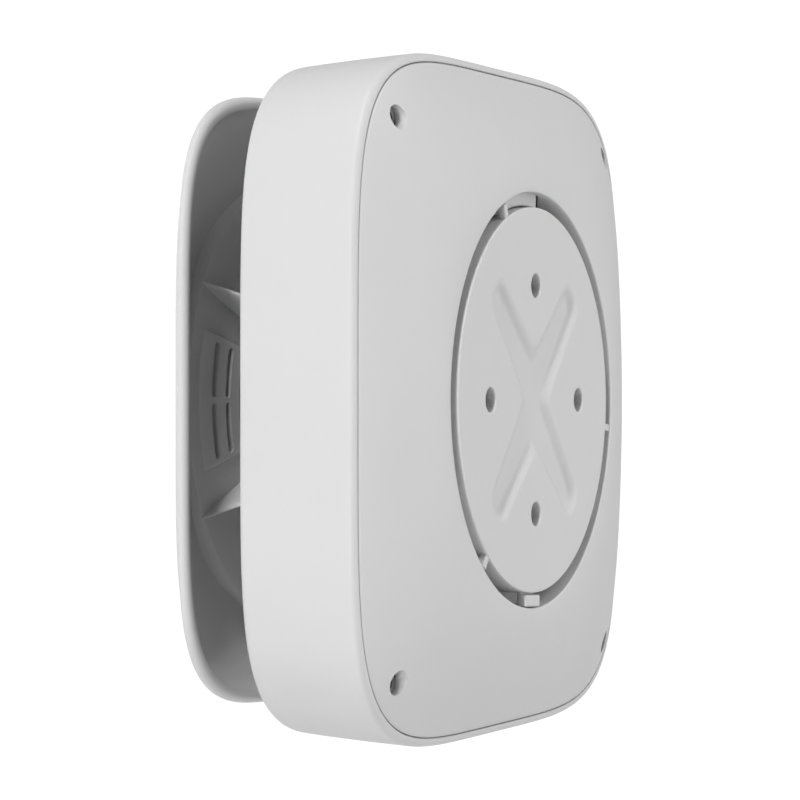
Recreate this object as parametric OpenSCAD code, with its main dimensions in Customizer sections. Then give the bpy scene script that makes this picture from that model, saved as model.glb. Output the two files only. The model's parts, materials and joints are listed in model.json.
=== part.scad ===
// Square alarm siren that twists onto a round wall bracket.
// Frame: the origin is the centre of the bracket's wall face. +Y points into the wall, +Z is up,
// and the sounding front faces -Y. Each part is drawn in a stacking frame of its own, where +Z is
// the depth measured from the wall towards the front, and from_wall() stands that frame up.

/* [Outline] */
// Width and height of the housing at its rear rim
body_w = 127; // [122:0.5:134]
// Width and height of the housing at its front edge
body_front_w = 124.4; // [121:0.2:126]
// Width and height of the rear cover at the seam
cover_w = 123.7; // [120:0.1:124.2]
// Squareness of the outlines: 2 is a circle and larger is squarer
squareness = 4.8; // [4:0.1:6]
// Wall thickness of the mouldings
wall = 2.2; // [1.8:0.1:2.6]

/* [Depths from the wall] */
// Depth of the recess rim, where the dome of the rear cover is highest
rim_depth = 0.1; // [0.1:0.1:1]
// Depth of the seam between the rear cover and the housing
seam_depth = 7.6; // [6.5:0.1:8]
// Depth of the front face of the deck
deck_depth = 31.1; // [30.5:0.1:33]
// Depth of the front plate's rear lip
plate_lip_depth = 44.4; // [43.5:0.1:45]
// Depth of the front face of the front plate
front_depth = 57; // [57:0.1:60]

/* [Front plate] */
// Width and height of the front plate
plate_w = 114.4; // [110:0.2:120]
// Squareness of the front plate's outline
plate_squareness = 5.1; // [4:0.1:6]
// How far the front plate's edge lies behind its front face
plate_fall = 11.3; // [9:0.1:11.4]
// Sharpness of the bend from the front face to the edge
plate_bend = 1.9; // [1.8:0.1:2.4]
// Thickness of the front plate
plate_t = 1.8; // [1.4:0.1:1.8]

/* [Wall bracket] */
// Radius of the round recess that takes the bracket
recess_r = 39.5; // [38:0.1:40]
// Radius of the bracket
bracket_r = 36.6; // [35:0.1:36.6]
// Thickness of the bracket's plate
bracket_t = 2; // [1.8:0.1:2.4]
// Radius of the circle of wall screw holes
wall_hole_circle_r = 21.7; // [20:0.1:24]
// Radius of each wall screw hole
wall_hole_r = 2.3; // [2:0.1:2.6]
// Depth of the X-shaped hollow in the wall face
cross_depth = 0.9; // [0.4:0.1:1.1]

/* [Deflector] */
// Radius of the deflector's outer edge
deflector_r = 43.8; // [42:0.2:43.8]
// Fall of the deflector's cone for each millimetre outwards
deflector_fall = 0.2; // [0.1:0.01:0.22]
// Thickness of each fin
fin_t = 1.2; // [1:0.1:2.4]

/* [Screws] */
// Distance of each cover screw from the middle, sideways and upwards
cover_screw_xy = 49.8; // [49:0.1:50]
// Radius of the small screws
screw_r = 1.3; // [1.1:0.05:1.4]
// Radius of the small screw heads
screw_head_r = 2.1; // [2:0.05:2.2]

/* [Cells] */
// Radius of each battery cell
cell_r = 8.5; // [8.3:0.1:8.5]
// Length of each battery cell
cell_l = 34.5; // [34:0.1:34.5]
// Distance of each battery row from the middle
cell_row_y = 45.5; // [45:0.1:46]

/* [Hidden] */
$fn = 48;
// Points round each squared outline
outline_steps = 80;
// Overlap that keeps cuts clean
cut = 0.1;
// Clearance round a screw and under a screw head
screw_gap = 0.1;
// Distance from a screw's tip to the end of its hole
screw_tip_gap = 0.4;
// Screw: height of its head, and radius and depth of its six-sided socket
screw_head_h = 1.7;
socket_r = 1.1;
socket_h = 1.1;
// Depth beyond the front of everything, for cuts that run right through
beyond = 60;

// Cover: height of the dome and the hollows behind it
dome_h = seam_depth - rim_depth;
cover_edge_depth = seam_depth + 2.4;
cup_depth = 6.9;
cup_floor_depth = cup_depth + wall;
cup_outer_r = recess_r + 2.4;
cover_boss_r = 3;
cover_boss_top = 6.9;
cover_boss_end = 12;
cover_screw_seat = 9;
cover_screw_tip = 22;
cover_screw_hole_end = 24;
counterbore_r = 2.3;
cover_w_gap = 0.2;
seal_ledge_depth = cover_edge_depth + 0.8;
inner_w = cover_w - 3;
seal_w = inner_w + 2.6;
seal_t = 1;
deck_inner_depth = deck_depth - wall;
deck_hole_end = deck_depth - 0.9;

// Bayonet: ledges in the recess, lugs on the bracket. Angles are seen from the front.
bayonet_count = 3;
bayonet_first_angle = 68.3;
ledge_span = 30;
ledge_inner_r = 36.9;
ledge_depth = 2;
ledge_t = 1.8;
stop_span = 1.8;
lug_span = 16;
lug_gap_angle = 1;
lug_r = 39.1;
lug_depth = 4.2;
skirt_depth = 5.9;
skirt_t = 2.1;
nib_w = 1.4;
nib_r = 39.2;
nib_depth = 0.2;
nib_t = 1.4;
tongue_angle = 272.5;
tongue_w = 6.9;
tongue_t = 1.8;

// X-shaped hollow: inner corners of the cross and the round end of each arm
cross_notch_x = 5;
cross_notch_y = 9.3;
cross_end = [16.6, 18.2];
cross_end_r = 3;

// Deflector: cone from the middle to the outer edge, six fins and two slotted pads
plate_floor_depth = front_depth - plate_t;
plate_flat = 28;
plate_screw_hole_end = front_depth - 0.8;
cone_edge_depth = 51.2;
cone_under_depth = 51.5;
cone_thin_r = 34;
cone_top_depth = cone_edge_depth - deflector_fall * deflector_r;
cone_t = 2;
cone_cap_r = 6;
fin_count = 6;
fin_first_angle = 30;
fin_inner_r = 24;
fin_foot_r = 28.3;
fin_tip_r = 43.5;
fin_overlap = 0.15;
foot_inner_r = 22.5;
foot_outer_r = 28.5;
foot_top = deck_depth + 0.1;
foot_t = 1.7;
slot_cut_depth = 40;
slot_radii = [33.2, 37.1];
slot_w = 1.2;
slot_half_angle = 16;
slot_bridge_angle = 1.2;
pad_half_angle = 19;
pad_inner_r = 29.6;
pad_outer_r = 41;
pad_t = 0.5;
plate_boss_r = 3.4;
plate_screw_ring_r = 24;
foot_boss_r = 2.7;
foot_screw_ring_r = 25.5;
foot_boss_depth = 38;
foot_screw_hole_end = foot_boss_depth - 1;

// Sounder
sounder_back = 15.4;
horn_flange_depth = 26.8;
horn_flange_t = 1.4;
horn_flange_r = 22.9;
horn_mouth_r = 20.2;
horn_mouth_depth = 37.5;
horn_throat_r = 7;
horn_wall = 1.4;
grille_t = 0.8;
grille_hole_r = 0.8;
sounder_r = 22.5;
sounder_wall = 1.7;
piezo_depth = 20.2;
piezo_r = 20.4;
piezo_t = 0.6;
piezo_seat_w = 1.2;
clamp_w = 1.4;
ear_ring_r = 31;
ear_r = 3.6;
ear_t = 2;
deck_hole_r = 20.6;
gasket_inner_r = deck_hole_r + 0.4;

// Board
board_depth = 13;
board_t = 1.6;
board_front = board_depth + board_t;
board_size = [104, 68];
board_notch = 8;
board_post = [46, 28];
board_post_r = 3.2;
board_screw_tip = 24;
board_screw_hole_end = 26;
led_xy = [48, 10];
guide_r = 2.5;
guide_collar_r = 3.4;
guide_collar_t = 1.4;
led_clearance = 1.6;
guide_end_depth = 32.6;

// Tamper plunger and power button
tamper_xy = [0, -10];
tamper_r = 2;
tamper_tip_depth = 2.5;
tamper_travel = 1;
flange_depth = cup_floor_depth + 0.3;
flange_t = 0.8;
tamper_flange_r = 3.4;
spring_coil_r = 3.1;
spring_wire_r = 0.25;
spring_end_gap = 0.05;
spring_turns = 4;
spring_steps = 12;
spring_sides = 6;
power_xy = [-14, 12];
power_r = 4;
power_top_depth = 6.3;
power_flange_r = 5;
power_travel = 0.5;
slide_gap = 0.3;

// Battery trays
tray_floor_depth = deck_inner_depth - 0.9;
tray_wall = 1.2;
tray_top_depth = 12;
tray_half_w = 41;
tray_half_h = cell_r + 0.2 + tray_wall;
cell_depth = tray_floor_depth - 0.1 - cell_r;
cell_gap = 1.2;
tray_ear_x = 44.5;
tray_ear_y = 40;
tray_ear_r = 2.6;
tray_ear_l = 4;
tray_ear_t = 1.6;
contact_t = 0.4;
contact_w = 12;
contact_top_depth = 13;
contact_end_depth = 26;
bow_r = 3;

// Colours
white_plastic = "gainsboro";
dark_plastic = "dimgray";
steel = "silver";

// ---------- Shared shapes ----------

// Stands the stacking frame up: its depth axis becomes -Y and its upward axis becomes +Z
module from_wall() {
    rotate([90, 0, 0]) children();
}

// Radius of a squared outline of half width a at the polar angle t
function outline_r(a, t, n = squareness) =
    a / pow(pow(abs(cos(t)), n) + pow(abs(sin(t)), n), 1 / n);

// Power of a signed number, which keeps its sign
function signed_pow(x, p) = sign(x) * pow(abs(x), p);

// Points of a squared outline of half width a, closest together at its corners
function outline(a, n = squareness) = [for (i = [0 : outline_steps - 1])
    let (t = 360 * i / outline_steps)
    a * [signed_pow(cos(t), 2 / n), signed_pow(sin(t), 2 / n)]];

// The same outline at one depth
function ring(a, z, n = squareness) = [for (p = outline(a, n)) [p[0], p[1], z]];

// Ring on the dome: s runs from 0 at the recess rim to 1 at the seam, and drop lowers it.
// Its points are evenly spaced at the recess and follow the outline's own points at the seam.
function dome_ring(s, drop = 0) = let (seam = outline(cover_w / 2))
    [for (i = [0 : outline_steps - 1])
        let (even = 360 * i / outline_steps,
            turn = atan2(seam[i][1], seam[i][0]) - even,
            t = even + s * (turn - 360 * round(turn / 360)),
            r = recess_r + s * (outline_r(cover_w / 2, t) - recess_r))
        [r * cos(t), r * sin(t), rim_depth + dome_h * s * s + drop]];

// Side faces between each ring and the next
function skin_faces(count, steps) = [for (k = [0 : count - 2], i = [0 : steps - 1])
    let (j = (i + 1) % steps) each [
        [k * steps + i, (k + 1) * steps + i, (k + 1) * steps + j],
        [k * steps + i, (k + 1) * steps + j, k * steps + j]]];

// Solid through a stack of rings, closed by a flat cap at each end
module loft(rings) {
    steps = len(rings[0]);
    last = (len(rings) - 1) * steps;
    polyhedron(
        points = [for (r = rings) each r],
        faces = concat(
            skin_faces(len(rings), steps),
            [[for (i = [0 : steps - 1]) i]],
            [[for (i = [steps - 1 : -1 : 0]) last + i]]),
        convexity = 4);
}

// Hollow ring-shaped solid whose last ring joins its first
module loop_loft(rings) {
    steps = len(rings[0]);
    polyhedron(
        points = [for (r = rings) each r],
        faces = [for (f = skin_faces(len(rings) + 1, steps))
            [for (p = f) p % (len(rings) * steps)]],
        convexity = 6);
}

// Prism on a squared outline of width w between two depths
module squared_prism(w, z0, z1) {
    translate([0, 0, z0]) linear_extrude(z1 - z0) polygon(outline(w / 2));
}

// Round bar along the depth axis
module bar(r, z0, z1) {
    translate([0, 0, z0]) cylinder(r = r, h = z1 - z0);
}

// Tube along the depth axis
module tube(r_out, r_in, z0, z1) {
    difference() {
        bar(r_out, z0, z1);
        bar(r_in, z0 - cut, z1 + cut);
    }
}

// Box centred on the depth axis
module block(size, z0, z1) {
    translate([-size[0] / 2, -size[1] / 2, z0]) cube([size[0], size[1], z1 - z0]);
}

// Sector of a ring, from angle a over the given span
module sector(a, span, r_in, r_out, z0, z1) {
    rotate([0, 0, a]) translate([0, 0, z0]) rotate_extrude(angle = span)
        translate([r_in, 0]) square([r_out - r_in, z1 - z0]);
}

// Children copied at equal angles round the depth axis
module around(count, first = 0) {
    for (i = [0 : count - 1]) rotate([0, 0, first + i * 360 / count]) children();
}

// Children copied to the four places at plus and minus x and y
module four_places(xy) {
    for (sx = [-1, 1], sy = [-1, 1]) translate([sx * xy[0], sy * xy[1], 0]) children();
}

// Small screw driven towards the front: the head ends at the seat, the shank at the tip
module screw(seat, tip, head_h = screw_head_h) {
    difference() {
        union() {
            bar(screw_head_r, seat - head_h, seat);
            bar(screw_r, seat - cut, tip);
        }
        translate([0, 0, seat - head_h - cut]) cylinder(r = socket_r, h = socket_h, $fn = 6);
    }
}

// Direction of a path at its point i: the mean of the stretches on both sides
function path_direction(points, i) = let (
    d = points[min(i + 1, len(points) - 1)] - points[max(i - 1, 0)])
    d / norm(d);

// Round wire through a list of points; side is a direction that the path never follows
module wire(points, r, side) {
    sides = 8;
    loft([for (i = [0 : len(points) - 1]) let (
        d = path_direction(points, i),
        e1 = cross(d, side) / norm(cross(d, side)),
        e2 = cross(d, e1))
        [for (k = [0 : sides - 1]) let (a = 360 * k / sides)
            points[i] + r * (cos(a) * e2 + sin(a) * e1)]]);
}

// ---------- Wall bracket ----------

// One arm of the X-shaped hollow, in the first quadrant
module cross_arm() {
    dx = cross_end - [cross_notch_x, 0];
    dy = cross_end - [0, cross_notch_y];
    side_x = [dx[1], -dx[0]] / norm(dx) * cross_end_r;
    side_y = [-dy[1], dy[0]] / norm(dy) * cross_end_r;
    polygon([[0, 0], [cross_notch_x, 0], cross_end + side_x, cross_end + side_y,
        [0, cross_notch_y]]);
    translate(cross_end) circle(r = cross_end_r);
}

module cross_outline() {
    for (sx = [0, 1], sy = [0, 1]) mirror([sx, 0]) mirror([0, sy]) cross_arm();
}

module mounting_bracket() {
    color(white_plastic) from_wall() difference() {
        union() {
            rotate_extrude() polygon([[0, 0], [bracket_r - 0.4, 0], [bracket_r, 0.4],
                [bracket_r, skirt_depth], [bracket_r - skirt_t, skirt_depth],
                [bracket_r - skirt_t, bracket_t], [0, bracket_t]]);
            around(bayonet_count, bayonet_first_angle)
                translate([bracket_r - 1, -nib_w / 2, nib_depth])
                    cube([nib_r - bracket_r + 1, nib_w, nib_t]);
            around(bayonet_count, bayonet_first_angle)
                sector(ledge_span - stop_span - lug_gap_angle - lug_span, lug_span,
                    bracket_r - 1, lug_r, lug_depth, skirt_depth);
            rotate([0, 0, tongue_angle]) translate([bracket_r - 1, -tongue_w / 2, 0])
                cube([nib_r - bracket_r + 1, tongue_w, tongue_t]);
        }
        around(4) translate([wall_hole_circle_r, 0, 0]) bar(wall_hole_r, -cut, bracket_t + cut);
        translate([0, 0, -cut]) linear_extrude(cross_depth + cut) cross_outline();
    }
}

// ---------- Rear cover and seal ----------

module rear_cover() {
    // The skin thins a little towards the seam, where its edge drops onto the seal
    outer_s = [0.045, 0.2, 0.36, 0.5, 0.62, 0.74, 0.84, 0.92, 1];
    inner_s = [0.9, 0.72, 0.5, 0.25, 0.045];
    color(white_plastic) from_wall() difference() {
        union() {
            loop_loft(concat(
                [for (s = outer_s) dome_ring(s)],
                [ring(cover_w / 2, cover_edge_depth), ring(inner_w / 2 - 0.4, cover_edge_depth)],
                [for (s = inner_s) dome_ring(s, wall + 0.1)]));
            tube(cup_outer_r, recess_r, rim_depth + 0.05, cup_floor_depth);
            bar(recess_r + 1, cup_depth, cup_floor_depth);
            around(bayonet_count, bayonet_first_angle)
                sector(0, ledge_span, ledge_inner_r, recess_r + 1, ledge_depth,
                    ledge_depth + ledge_t);
            around(bayonet_count, bayonet_first_angle)
                sector(ledge_span - stop_span, stop_span, ledge_inner_r, recess_r + 1,
                    ledge_depth, cup_depth + 1);
            four_places([cover_screw_xy, cover_screw_xy])
                bar(cover_boss_r, cover_boss_top, cover_boss_end);
        }
        four_places([cover_screw_xy, cover_screw_xy]) {
            bar(counterbore_r, 0, cover_screw_seat);
            bar(screw_r + screw_gap, 0, cover_boss_end + cut);
        }
        translate(tamper_xy) bar(tamper_r + slide_gap, 0, cup_floor_depth + cut);
        translate(power_xy) bar(power_r + slide_gap, 0, cup_floor_depth + cut);
    }
}

module housing_seal() {
    color(dark_plastic) from_wall() difference() {
        squared_prism(seal_w, cover_edge_depth, seal_ledge_depth);
        squared_prism(seal_w - 2 * seal_t, cover_edge_depth - cut, seal_ledge_depth + cut);
    }
}

module cover_screws() {
    color(steel) from_wall() four_places([cover_screw_xy, cover_screw_xy])
        screw(cover_screw_seat, cover_screw_tip);
}

// ---------- Housing shell ----------

module housing_shell() {
    rim = cover_w / 2 + cover_w_gap;
    // Half width and depth of each ring, from the rear rim to the front face of the deck
    profile = [[rim, seam_depth], [rim + 0.7, seam_depth + 0.2], [body_w / 2 - 0.2, seam_depth + 0.7],
        [body_w / 2, seam_depth + 1.5], [body_front_w / 2, deck_depth - 1.4],
        [body_front_w / 2 - 0.4, deck_depth - 0.5], [body_front_w / 2 - 1.4, deck_depth]];
    color(white_plastic) from_wall() difference() {
        union() {
            difference() {
                loft([for (p = profile) ring(p[0], p[1])]);
                squared_prism(2 * rim - cover_w_gap, seam_depth - 1, seal_ledge_depth);
                squared_prism(inner_w, seal_ledge_depth - cut, deck_inner_depth);
            }
            four_places([cover_screw_xy, cover_screw_xy])
                bar(cover_boss_r + 0.5, cover_boss_end + 0.2, deck_inner_depth + cut);
            four_places(board_post) bar(board_post_r, board_front, deck_inner_depth + cut);
            around(3) translate([ear_ring_r, 0, 0])
                bar(ear_r - 0.4, horn_flange_depth, deck_inner_depth + cut);
        }
        bar(deck_hole_r, deck_inner_depth - cut, deck_depth + cut);
        four_places([cover_screw_xy, cover_screw_xy]) bar(screw_r + screw_gap / 2, 0, cover_screw_hole_end);
        four_places(board_post) bar(screw_r + screw_gap / 2, 0, board_screw_hole_end);
        four_places(led_xy) bar(guide_r + screw_gap, 0, deck_depth + cut);
        around(3, 60) translate([foot_screw_ring_r, 0, 0])
            bar(screw_r + screw_gap, 0, deck_depth + cut);
        around(3) translate([ear_ring_r, 0, 0]) bar(screw_r + screw_gap / 2, 0, deck_hole_end);
        four_places([tray_ear_x, tray_ear_y]) bar(screw_r + screw_gap / 2, 0, deck_hole_end);
    }
}

// ---------- Front plate and deflector ----------

// Depth of the front plate's outer surface, where t runs from 0 at the flat face to 1 at the edge
function plate_depth(t) = front_depth - plate_fall * pow(t, plate_bend);

// Ring on the front plate's outer surface, lowered by drop for its inner surface
function plate_ring(t, drop = 0) =
    ring(plate_flat + t * (plate_w / 2 - plate_flat), plate_depth(t) - drop, plate_squareness);

module front_plate() {
    half = plate_w / 2;
    outer_t = [0, 0.3, 0.5, 0.66, 0.8, 0.9, 0.97, 1];
    inner_t = [0.9, 0.75, 0.6, 0.45, 0.25, 0];
    // Inset and depth of each ring of the rounded lip
    lip = [[0, 0.5], [0.4, 0.1], [0.9, 0], [1.4, 0.1], [1.8, 0.5]];
    color(white_plastic) from_wall() difference() {
        union() {
            loft(concat(
                [for (i = [len(inner_t) - 1 : -1 : 0]) plate_ring(inner_t[i], plate_t)],
                [for (i = [len(lip) - 1 : -1 : 0])
                    ring(half - lip[i][0], plate_lip_depth + lip[i][1], plate_squareness)],
                [for (i = [len(outer_t) - 1 : -1 : 0]) plate_ring(outer_t[i])]));
            around(3) translate([plate_screw_ring_r, 0, 0])
                bar(plate_boss_r, cone_depth(plate_screw_ring_r) + cone_t + 1, plate_floor_depth + cut);
        }
        around(3) translate([plate_screw_ring_r, 0, 0])
            bar(screw_r + screw_gap / 2, slot_cut_depth, plate_screw_hole_end);
    }
}

// Depth of the deflector's cone at the radius r
function cone_depth(r) = cone_top_depth + deflector_fall * r;

module deflector_fin() {
    rotate([90, 0, 0]) translate([0, 0, -fin_t / 2]) linear_extrude(fin_t)
        polygon([[fin_inner_r, foot_top + foot_t / 2], [fin_foot_r, foot_top + foot_t / 2],
            [fin_tip_r, cone_depth(fin_tip_r)], [fin_tip_r, cone_depth(fin_tip_r) + fin_overlap],
            [fin_inner_r, cone_depth(fin_inner_r) + fin_overlap]]);
}

// Slot pair of one pad: an arc on each slot circle, bridged in the middle
module pad_slots() {
    for (r = slot_radii, side = [-1, 1])
        rotate([0, 0, side > 0 ? slot_bridge_angle : -slot_half_angle])
            translate([0, 0, slot_cut_depth]) rotate_extrude(angle = slot_half_angle - slot_bridge_angle)
                translate([r - slot_w / 2, 0]) square([slot_w, beyond - slot_cut_depth]);
}

module sound_deflector() {
    cap = cone_depth(cone_cap_r);
    color(white_plastic) from_wall() difference() {
        union() {
            rotate_extrude() polygon([[0, cap], [cone_cap_r, cap],
                [deflector_r, cone_depth(deflector_r)], [deflector_r, cone_under_depth],
                [cone_thin_r, cone_under_depth], [cone_cap_r, cap + cone_t], [0, cap + cone_t]]);
            around(fin_count, fin_first_angle) deflector_fin();
            tube(foot_outer_r, foot_inner_r, foot_top, foot_top + foot_t);
            around(3, 60) translate([foot_screw_ring_r, 0, 0])
                bar(foot_boss_r, foot_top, foot_boss_depth);
            around(2) rotate([0, 0, -pad_half_angle]) rotate_extrude(angle = 2 * pad_half_angle)
                polygon([[pad_inner_r, cone_depth(pad_inner_r) - pad_t],
                    [pad_outer_r, cone_depth(pad_outer_r) - pad_t],
                    [pad_outer_r, cone_depth(pad_outer_r) + cut],
                    [pad_inner_r, cone_depth(pad_inner_r) + cut]]);
        }
        around(2) pad_slots();
        around(3) translate([plate_screw_ring_r, 0, 0]) bar(screw_r + screw_gap, slot_cut_depth, beyond);
        around(3, 60) translate([foot_screw_ring_r, 0, 0])
            bar(screw_r + screw_gap / 2, foot_top - cut, foot_screw_hole_end);
    }
}

module deflector_screws() {
    color(steel) from_wall() around(3, 60) translate([foot_screw_ring_r, 0, 0])
        screw(deck_inner_depth, foot_screw_hole_end - screw_tip_gap);
}

module plate_screws() {
    color(steel) from_wall() around(3) translate([plate_screw_ring_r, 0, 0])
        screw(cone_depth(plate_screw_ring_r) - screw_head_r * deflector_fall, plate_screw_hole_end - screw_tip_gap);
}

// ---------- Sounder ----------

module sounder_horn() {
    t = horn_wall;
    color(dark_plastic) from_wall() rotate_extrude() polygon([
        [horn_throat_r, horn_flange_depth], [horn_flange_r, horn_flange_depth],
        [horn_flange_r, horn_flange_depth + horn_flange_t],
        [horn_throat_r + 4 + t, horn_flange_depth + horn_flange_t],
        [horn_throat_r + 5.2 + t, 31], [horn_throat_r + 8 + t, 34.4],
        [horn_mouth_r, horn_mouth_depth - 0.6], [horn_mouth_r, horn_mouth_depth],
        [horn_mouth_r - t, horn_mouth_depth],
        [horn_throat_r + 8, 35.2], [horn_throat_r + 4.6, 31.6], [horn_throat_r + 1.6, 28.6]]);
}

// Perforated disc in the horn's throat that keeps insects out
module horn_grille() {
    r = horn_throat_r - 0.1;
    // Number of holes, radius of their circle and angle of the first one, from the middle outwards
    rows = [[1, 0, 0], [6, 2.6, 0], [12, 5, 15]];
    color(dark_plastic) from_wall() difference() {
        bar(r, horn_flange_depth, horn_flange_depth + grille_t);
        for (row = rows) around(row[0], row[2]) translate([row[1], 0, 0])
            bar(grille_hole_r, 0, beyond);
    }
}

module horn_gasket() {
    color(dark_plastic) from_wall()
        tube(horn_flange_r, gasket_inner_r, horn_flange_depth + horn_flange_t, deck_inner_depth);
}

module sounder_case() {
    color(dark_plastic) from_wall() difference() {
        union() {
            bar(sounder_r, sounder_back, horn_flange_depth);
            around(3) translate([ear_ring_r, 0, 0])
                bar(ear_r, horn_flange_depth - ear_t, horn_flange_depth);
            around(3) translate([sounder_r - 1, -ear_r, horn_flange_depth - ear_t])
                cube([ear_ring_r - sounder_r + 1, 2 * ear_r, ear_t]);
        }
        bar(sounder_r - sounder_wall, piezo_depth, horn_flange_depth + cut);
        bar(piezo_r - piezo_seat_w, sounder_back + sounder_wall, piezo_depth + cut);
        around(3) translate([ear_ring_r, 0, 0]) bar(screw_r + screw_gap, 0, horn_flange_depth + cut);
    }
}

module piezo_disc() {
    color("goldenrod") from_wall() bar(piezo_r, piezo_depth, piezo_depth + piezo_t);
}

module piezo_clamp() {
    color(dark_plastic) from_wall()
        tube(piezo_r, piezo_r - clamp_w, piezo_depth + piezo_t, horn_flange_depth);
}

module sounder_screws() {
    color(steel) from_wall() around(3) translate([ear_ring_r, 0, 0])
        screw(horn_flange_depth - ear_t, deck_hole_end - screw_tip_gap);
}

// ---------- Board ----------

module main_board() {
    color("darkgreen") from_wall() difference() {
        block(board_size, board_depth, board_front);
        four_places(board_post) bar(screw_r + screw_gap, 0, board_front + cut);
        four_places([board_size[0] / 2, board_size[1] / 2])
            block([board_notch, board_notch], board_depth - cut, board_front + cut);
    }
}

module board_screws() {
    color(steel) from_wall() four_places(board_post) screw(board_depth, board_screw_tip);
}

module radio_module() {
    can = [18, 14];
    can_h = 2.2;
    color(steel) from_wall() translate([24, 20, 0]) block(can, board_depth - can_h, board_depth);
}

// Processor, sounder driver and power converter on the rear side, with small parts in rows
module board_chips() {
    // Place, size and height of each chip
    chips = [[[24, -16], [9, 9], 1.2], [[-24, -18], [6, 5], 1.4], [[-30, 6], [7, 7], 1.4]];
    // Place of the first small part of each row
    rows = [[13, -26], [-34, 26]];
    row_count = 5;
    row_pitch = 4;
    small = [2, 1.2];
    small_h = 0.8;
    color("darkslategray") from_wall() {
        for (c = chips) translate(c[0]) block(c[1], board_depth - c[2], board_depth);
        for (row = rows, i = [0 : row_count - 1]) translate([row[0] + row_pitch * i, row[1], 0])
            block(small, board_depth - small_h, board_depth);
    }
}

module board_capacitors() {
    can_r = 4;
    can_h = 11;
    color("darkslategray") from_wall() for (sy = [-1, 1]) translate([-40, 10 * sy, 0])
        bar(can_r, board_front, board_front + can_h);
}

module board_connectors() {
    places = [[-20, -29.5], [-20, 29.5], [28, 29.5]];
    size = [7, 5];
    size_h = 4.5;
    color("ivory") from_wall() for (place = places) translate(place)
        block(size, board_front, board_front + size_h);
}

module strobe_leds() {
    size = [3, 3];
    size_h = 1.2;
    color("ivory") from_wall() four_places(led_xy) block(size, board_front, board_front + size_h);
}

module light_guides() {
    color("lightcyan") from_wall() four_places(led_xy) {
        bar(guide_r, board_front + led_clearance, guide_end_depth);
        bar(guide_collar_r, deck_inner_depth - guide_collar_t, deck_inner_depth);
    }
}

module radio_antenna() {
    y_end = 24;
    x_far = 56.4;
    wire_r = 0.5;
    color("goldenrod") from_wall() wire([[50, -y_end, board_front + 0.7],
        [x_far - 1, -y_end, 19], [x_far, -y_end + 2, 20], [x_far, y_end - 2, 20],
        [x_far, y_end, 22], [x_far, y_end - 2, 24], [x_far, -y_end + 6, 24]], wire_r, [1, 0.5, 0.3]);
}

// ---------- Tamper plunger and power button ----------

module tamper_plunger() {
    color(white_plastic) from_wall() translate(tamper_xy) {
        bar(tamper_r, tamper_tip_depth, flange_depth + cut);
        bar(tamper_flange_r, flange_depth, flange_depth + flange_t);
    }
}

// Points of the coil spring's ring at step i along the wire
function spring_ring(i, z0, z1) = let (
    n = spring_turns * spring_steps,
    t = 360 * i / spring_steps,
    z = z0 + (z1 - z0) * i / n)
    [for (k = [0 : spring_sides - 1]) let (
        a = 360 * k / spring_sides,
        r = spring_coil_r + spring_wire_r * cos(a))
        [r * cos(t), r * sin(t), z + spring_wire_r * sin(a)]];

module tamper_spring() {
    z0 = flange_depth + flange_t + spring_wire_r + spring_end_gap;
    z1 = board_depth - spring_wire_r - spring_end_gap;
    color(steel) from_wall() translate(tamper_xy)
        loft([for (i = [0 : spring_turns * spring_steps]) spring_ring(i, z0, z1)]);
}

module tamper_switch() {
    case = [3.4, 3.4];
    case_h = 1.2;
    key_r = 0.8;
    key_h = 0.3;
    color("darkslategray") from_wall() translate(tamper_xy) {
        block(case, board_depth - case_h, board_depth);
        bar(key_r, board_depth - case_h - key_h, board_depth - case_h + cut);
    }
}

module power_button() {
    stem_r = 1.2;
    stem_h = 0.5;
    color(white_plastic) from_wall() translate(power_xy) {
        bar(power_r, power_top_depth, flange_depth + cut);
        bar(power_flange_r, flange_depth, flange_depth + flange_t);
        bar(stem_r, flange_depth, flange_depth + flange_t + stem_h);
    }
}

module power_switch() {
    case = [5, 5];
    case_h = 1.4;
    key_r = 1.4;
    key_h = 0.2;
    color("darkslategray") from_wall() translate(power_xy) {
        block(case, board_depth - case_h, board_depth);
        bar(key_r, board_depth - case_h - key_h, board_depth - case_h + cut);
    }
}

// ---------- Batteries ----------

// Tray of the upper row; the lower one is its mirror image
module battery_tray() {
    translate([0, cell_row_y, 0]) difference() {
        block([2 * tray_half_w, 2 * tray_half_h], tray_top_depth, deck_inner_depth);
        block([2 * (tray_half_w - tray_wall), 2 * (tray_half_h - tray_wall)],
            tray_top_depth - cut, tray_floor_depth);
    }
    for (sx = [-1, 1]) translate([sx * tray_ear_x, tray_ear_y, 0]) difference() {
        union() {
            bar(tray_ear_r, deck_inner_depth - tray_ear_t, deck_inner_depth);
            translate([sx > 0 ? -tray_ear_l : 0, -tray_ear_r, deck_inner_depth - tray_ear_t])
                cube([tray_ear_l, 2 * tray_ear_r, tray_ear_t]);
        }
        bar(screw_r + screw_gap, 0, deck_depth);
    }
}

module upper_battery_tray() {
    color(dark_plastic) from_wall() battery_tray();
}

module lower_battery_tray() {
    color(dark_plastic) from_wall() mirror([0, 1, 0]) battery_tray();
}

module tray_screws() {
    color(steel) from_wall() four_places([tray_ear_x, tray_ear_y])
        screw(deck_inner_depth - tray_ear_t, deck_hole_end - screw_tip_gap);
}

// Cell whose nub points to +X, centred sideways at x in the row at y
module battery_cell(x, y) {
    nub_l = 1;
    nub_r = 3;
    color("steelblue") from_wall() translate([x - cell_l / 2, y, cell_depth]) rotate([0, 90, 0]) {
        cylinder(r = cell_r, h = cell_l - nub_l);
        cylinder(r = nub_r, h = cell_l);
    }
}

module battery_cell_1() {
    battery_cell(-(cell_l + cell_gap) / 2, cell_row_y);
}

module battery_cell_2() {
    battery_cell((cell_l + cell_gap) / 2, cell_row_y);
}

module battery_cell_3() {
    battery_cell(-(cell_l + cell_gap) / 2, -cell_row_y);
}

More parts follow.
